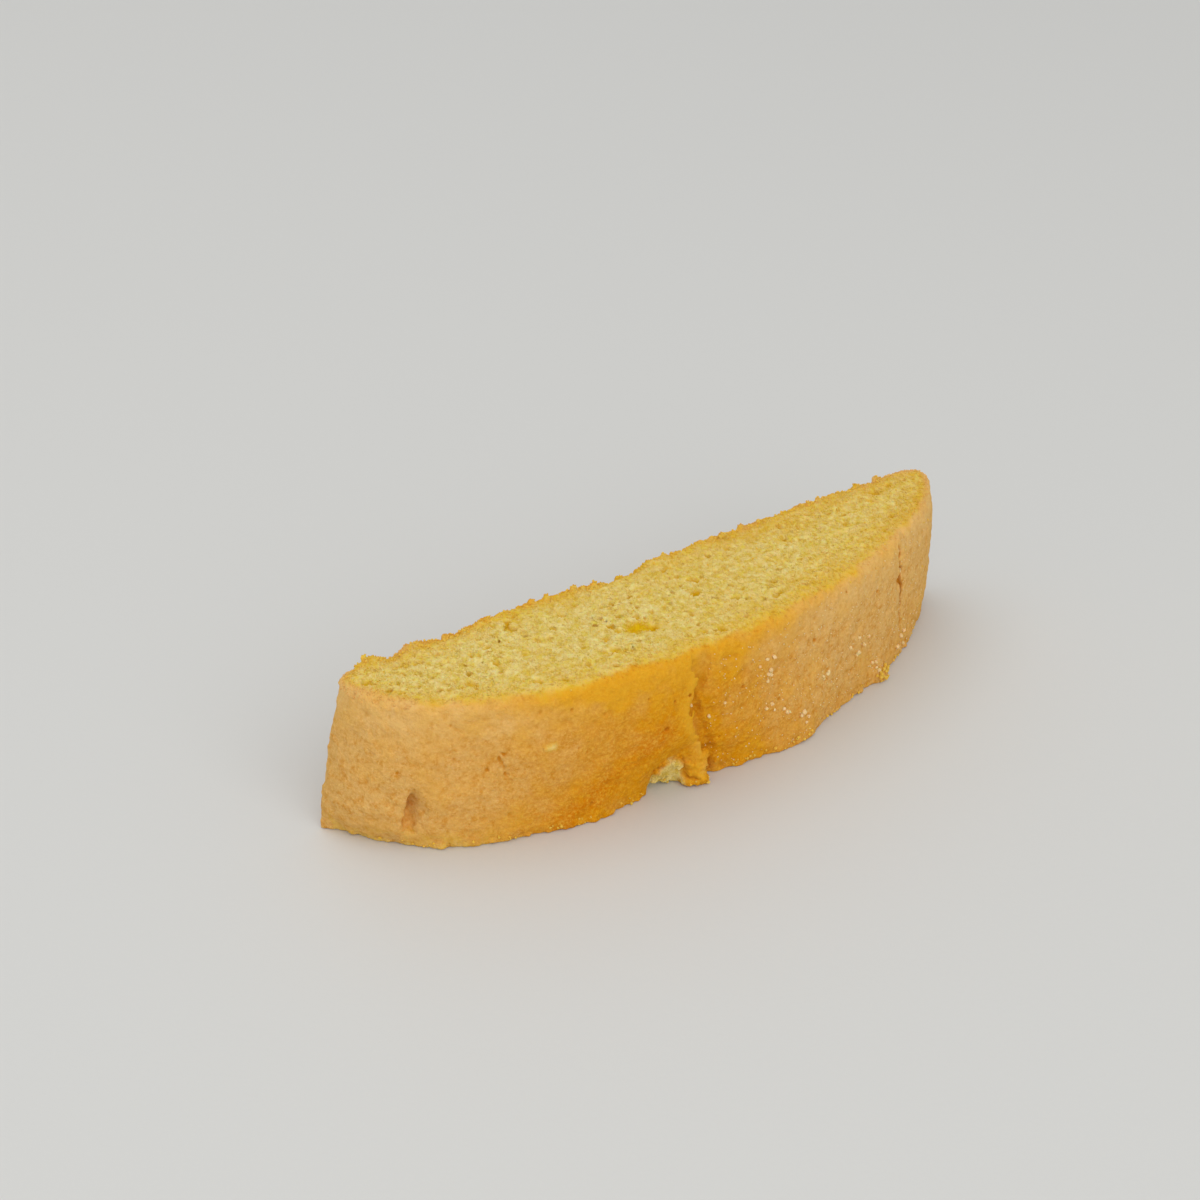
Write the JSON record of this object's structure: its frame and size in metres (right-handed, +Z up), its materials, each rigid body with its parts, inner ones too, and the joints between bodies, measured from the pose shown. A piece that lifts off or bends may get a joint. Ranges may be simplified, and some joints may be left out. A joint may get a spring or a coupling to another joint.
{
  "type": "biscotti slice",
  "caption": "Long half-oval slice of baked biscuit, lying on a cut face, with pale porous crumb and a tan domed crust.",
  "frame": {"origin": "on the resting surface, under the middle of the slice's bounding box", "axes": "+X along the slice's length towards its drawn-out tip, -Y towards the domed crust, +Z up, square to the cut faces"},
  "size_m": [0.1192, 0.0274, 0.0252],
  "materials": {
    "biscuit": "dry and matte: open yellow crumb on the cut faces, fine golden tan crust round the sides"
  },
  "bodies": {
    "root": {"biscotto": "biscuit"}
  },
  "joints": []
}
